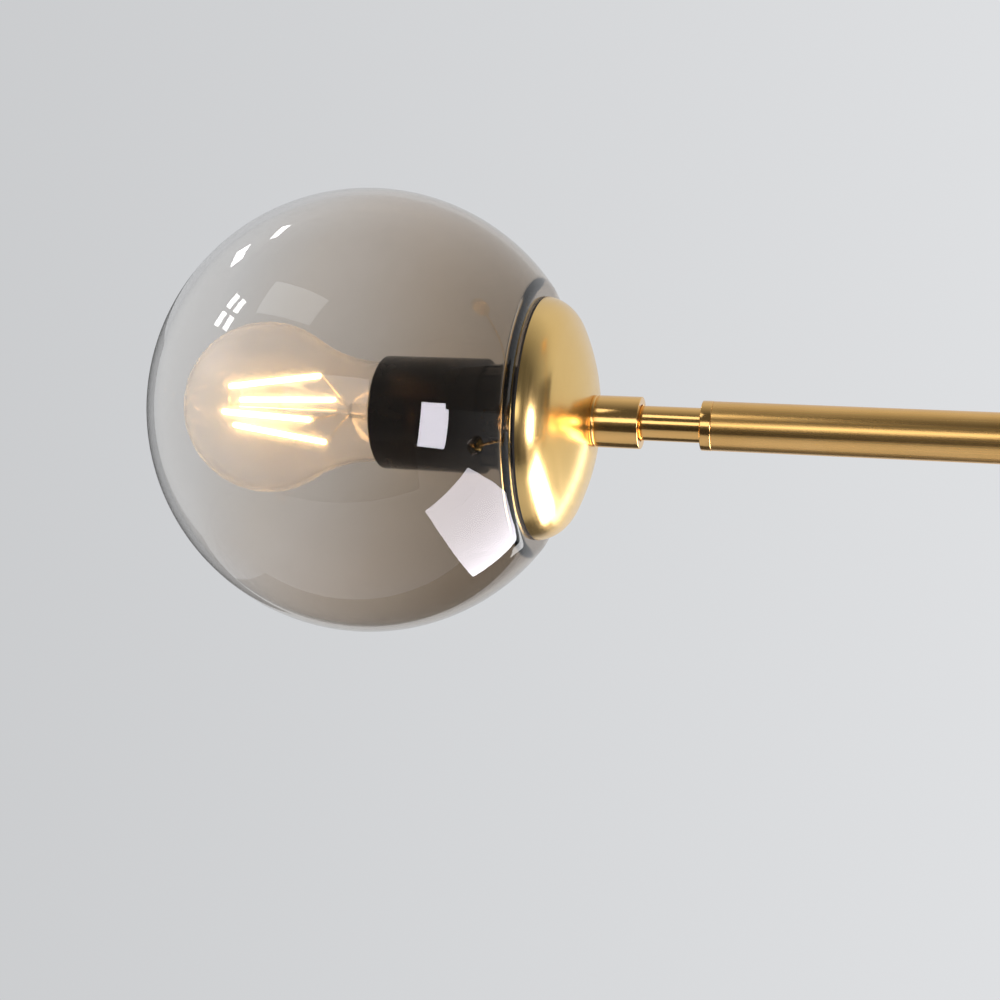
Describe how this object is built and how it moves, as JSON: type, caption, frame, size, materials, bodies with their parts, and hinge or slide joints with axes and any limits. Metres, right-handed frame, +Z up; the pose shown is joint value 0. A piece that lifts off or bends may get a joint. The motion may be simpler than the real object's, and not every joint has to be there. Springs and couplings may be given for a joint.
{
  "type": "branch chandelier",
  "caption": "Branching ceiling light: a stem and boughs carry hinged brass arms, each ending in a dish, a lampholder with a filament bulb and a smoked glass globe.",
  "frame": {"origin": "middle of the ceiling bracket's top face, midway between its two slots", "axes": "+Z up to the ceiling; the boughs run along X, and arm 1, the one in the picture, points along -X"},
  "size_m": [1.0714, 0.7295, 0.8487],
  "materials": {
    "satin_brass": "satin, brushed round",
    "polished_brass": "polished",
    "raw_brass": "turned",
    "smoked_glass": "clear smoked",
    "clear_glass": "clear",
    "stem_glass": "clear, with fine metal wires",
    "lit_filament": "phosphor-coated rod, lit",
    "nickel_cap": "plated screw cap",
    "black_phenolic": "glossy black moulding",
    "black_rubber": "smooth",
    "ceramic": "white ceramic",
    "zinc_steel": "zinc plated",
    "white_plastic": "moulded"
  },
  "bodies": {
    "ceiling_frame": {"ceiling_bracket": "zinc_steel", "canopy": "satin_brass", "canopy_screws": "raw_brass", "terminal_block": "white_plastic", "stem_nipple": "zinc_steel", "stem_locknut": "raw_brass", "stem_collar": "satin_brass", "stem_tube": "satin_brass", "hub": "satin_brass", "bough_left": "satin_brass", "bough_right": "satin_brass", "node_left": "satin_brass", "node_right": "satin_brass", "pivot_bolts": "raw_brass", "pivot_nuts": "raw_brass"},
    "arm_1": {"arm_1_seal": "black_rubber", "arm_1_dish": "polished_brass", "arm_1_collar": "satin_brass", "arm_1_neck": "satin_brass", "arm_1_locknut": "raw_brass", "arm_1_tube": "satin_brass", "arm_1_pivot_eye": "satin_brass", "arm_1_holder_shell": "black_phenolic", "arm_1_holder_core": "ceramic", "arm_1_holder_base": "black_phenolic"},
    "globe_1": {"arm_1_globe": "smoked_glass"},
    "bulb_1": {"arm_1_bulb_glass": "clear_glass", "arm_1_bulb_cap": "nickel_cap", "arm_1_bulb_stem": "stem_glass", "arm_1_bulb_filaments": "lit_filament"},
    "arm_2": {"arm_2_seal": "black_rubber", "arm_2_dish": "polished_brass", "arm_2_collar": "satin_brass", "arm_2_neck": "satin_brass", "arm_2_locknut": "raw_brass", "arm_2_tube": "satin_brass", "arm_2_pivot_eye": "satin_brass", "arm_2_holder_shell": "black_phenolic", "arm_2_holder_core": "ceramic", "arm_2_holder_base": "black_phenolic"},
    "globe_2": {"arm_2_globe": "smoked_glass"},
    "bulb_2": {"arm_2_bulb_glass": "clear_glass", "arm_2_bulb_cap": "nickel_cap", "arm_2_bulb_stem": "stem_glass", "arm_2_bulb_filaments": "lit_filament"},
    "arm_3": {"arm_3_seal": "black_rubber", "arm_3_dish": "polished_brass", "arm_3_collar": "satin_brass", "arm_3_neck": "satin_brass", "arm_3_locknut": "raw_brass", "arm_3_tube": "satin_brass", "arm_3_pivot_eye": "satin_brass", "arm_3_holder_shell": "black_phenolic", "arm_3_holder_core": "ceramic", "arm_3_holder_base": "black_phenolic"},
    "globe_3": {"arm_3_globe": "smoked_glass"},
    "bulb_3": {"arm_3_bulb_glass": "clear_glass", "arm_3_bulb_cap": "nickel_cap", "arm_3_bulb_stem": "stem_glass", "arm_3_bulb_filaments": "lit_filament"}
  },
  "joints": [
    {"name": "arm_1_tilt", "type": "hinge", "parent": "ceiling_frame", "child": "arm_1", "pos_m": [-0.20654, 0, -0.54502], "axis": [0, 1, 0], "range_deg": [-60, 60]},
    {"name": "globe_1_pull", "type": "slide", "parent": "arm_1", "child": "globe_1", "axis": [-1, 0, 0], "range_m": [0, 0.14]},
    {"name": "bulb_1_turn", "type": "hinge", "parent": "arm_1", "child": "bulb_1", "pos_m": [-0.54138, 0, -0.54502], "axis": [-1, 0, 0], "continuous": true},
    {"name": "arm_2_tilt", "type": "hinge", "parent": "ceiling_frame", "child": "arm_2", "pos_m": [0.19667, 0.02472, -0.65918], "axis": [0.8829, -0.4695, 0], "range_deg": [-82, 38]},
    {"name": "globe_2_pull", "type": "slide", "parent": "arm_2", "child": "globe_2", "axis": [0.4353, 0.8187, 0.3746], "range_m": [0, 0.14]},
    {"name": "bulb_2_turn", "type": "hinge", "parent": "arm_2", "child": "bulb_2", "pos_m": [0.34242, 0.29884, -0.53374], "axis": [0.4353, 0.8187, 0.3746], "continuous": true},
    {"name": "arm_3_tilt", "type": "hinge", "parent": "ceiling_frame", "child": "arm_3", "pos_m": [0.19959, -0.02294, -0.65918], "axis": [-0.8192, -0.5736, 0], "range_deg": [-40, 80]},
    {"name": "globe_3_pull", "type": "slide", "parent": "arm_3", "child": "globe_3", "axis": [0.539, -0.7698, -0.342], "range_m": [0, 0.14]},
    {"name": "bulb_3_turn", "type": "hinge", "parent": "arm_3", "child": "bulb_3", "pos_m": [0.38006, -0.28068, -0.7737], "axis": [0.539, -0.7698, -0.342], "continuous": true}
  ]
}
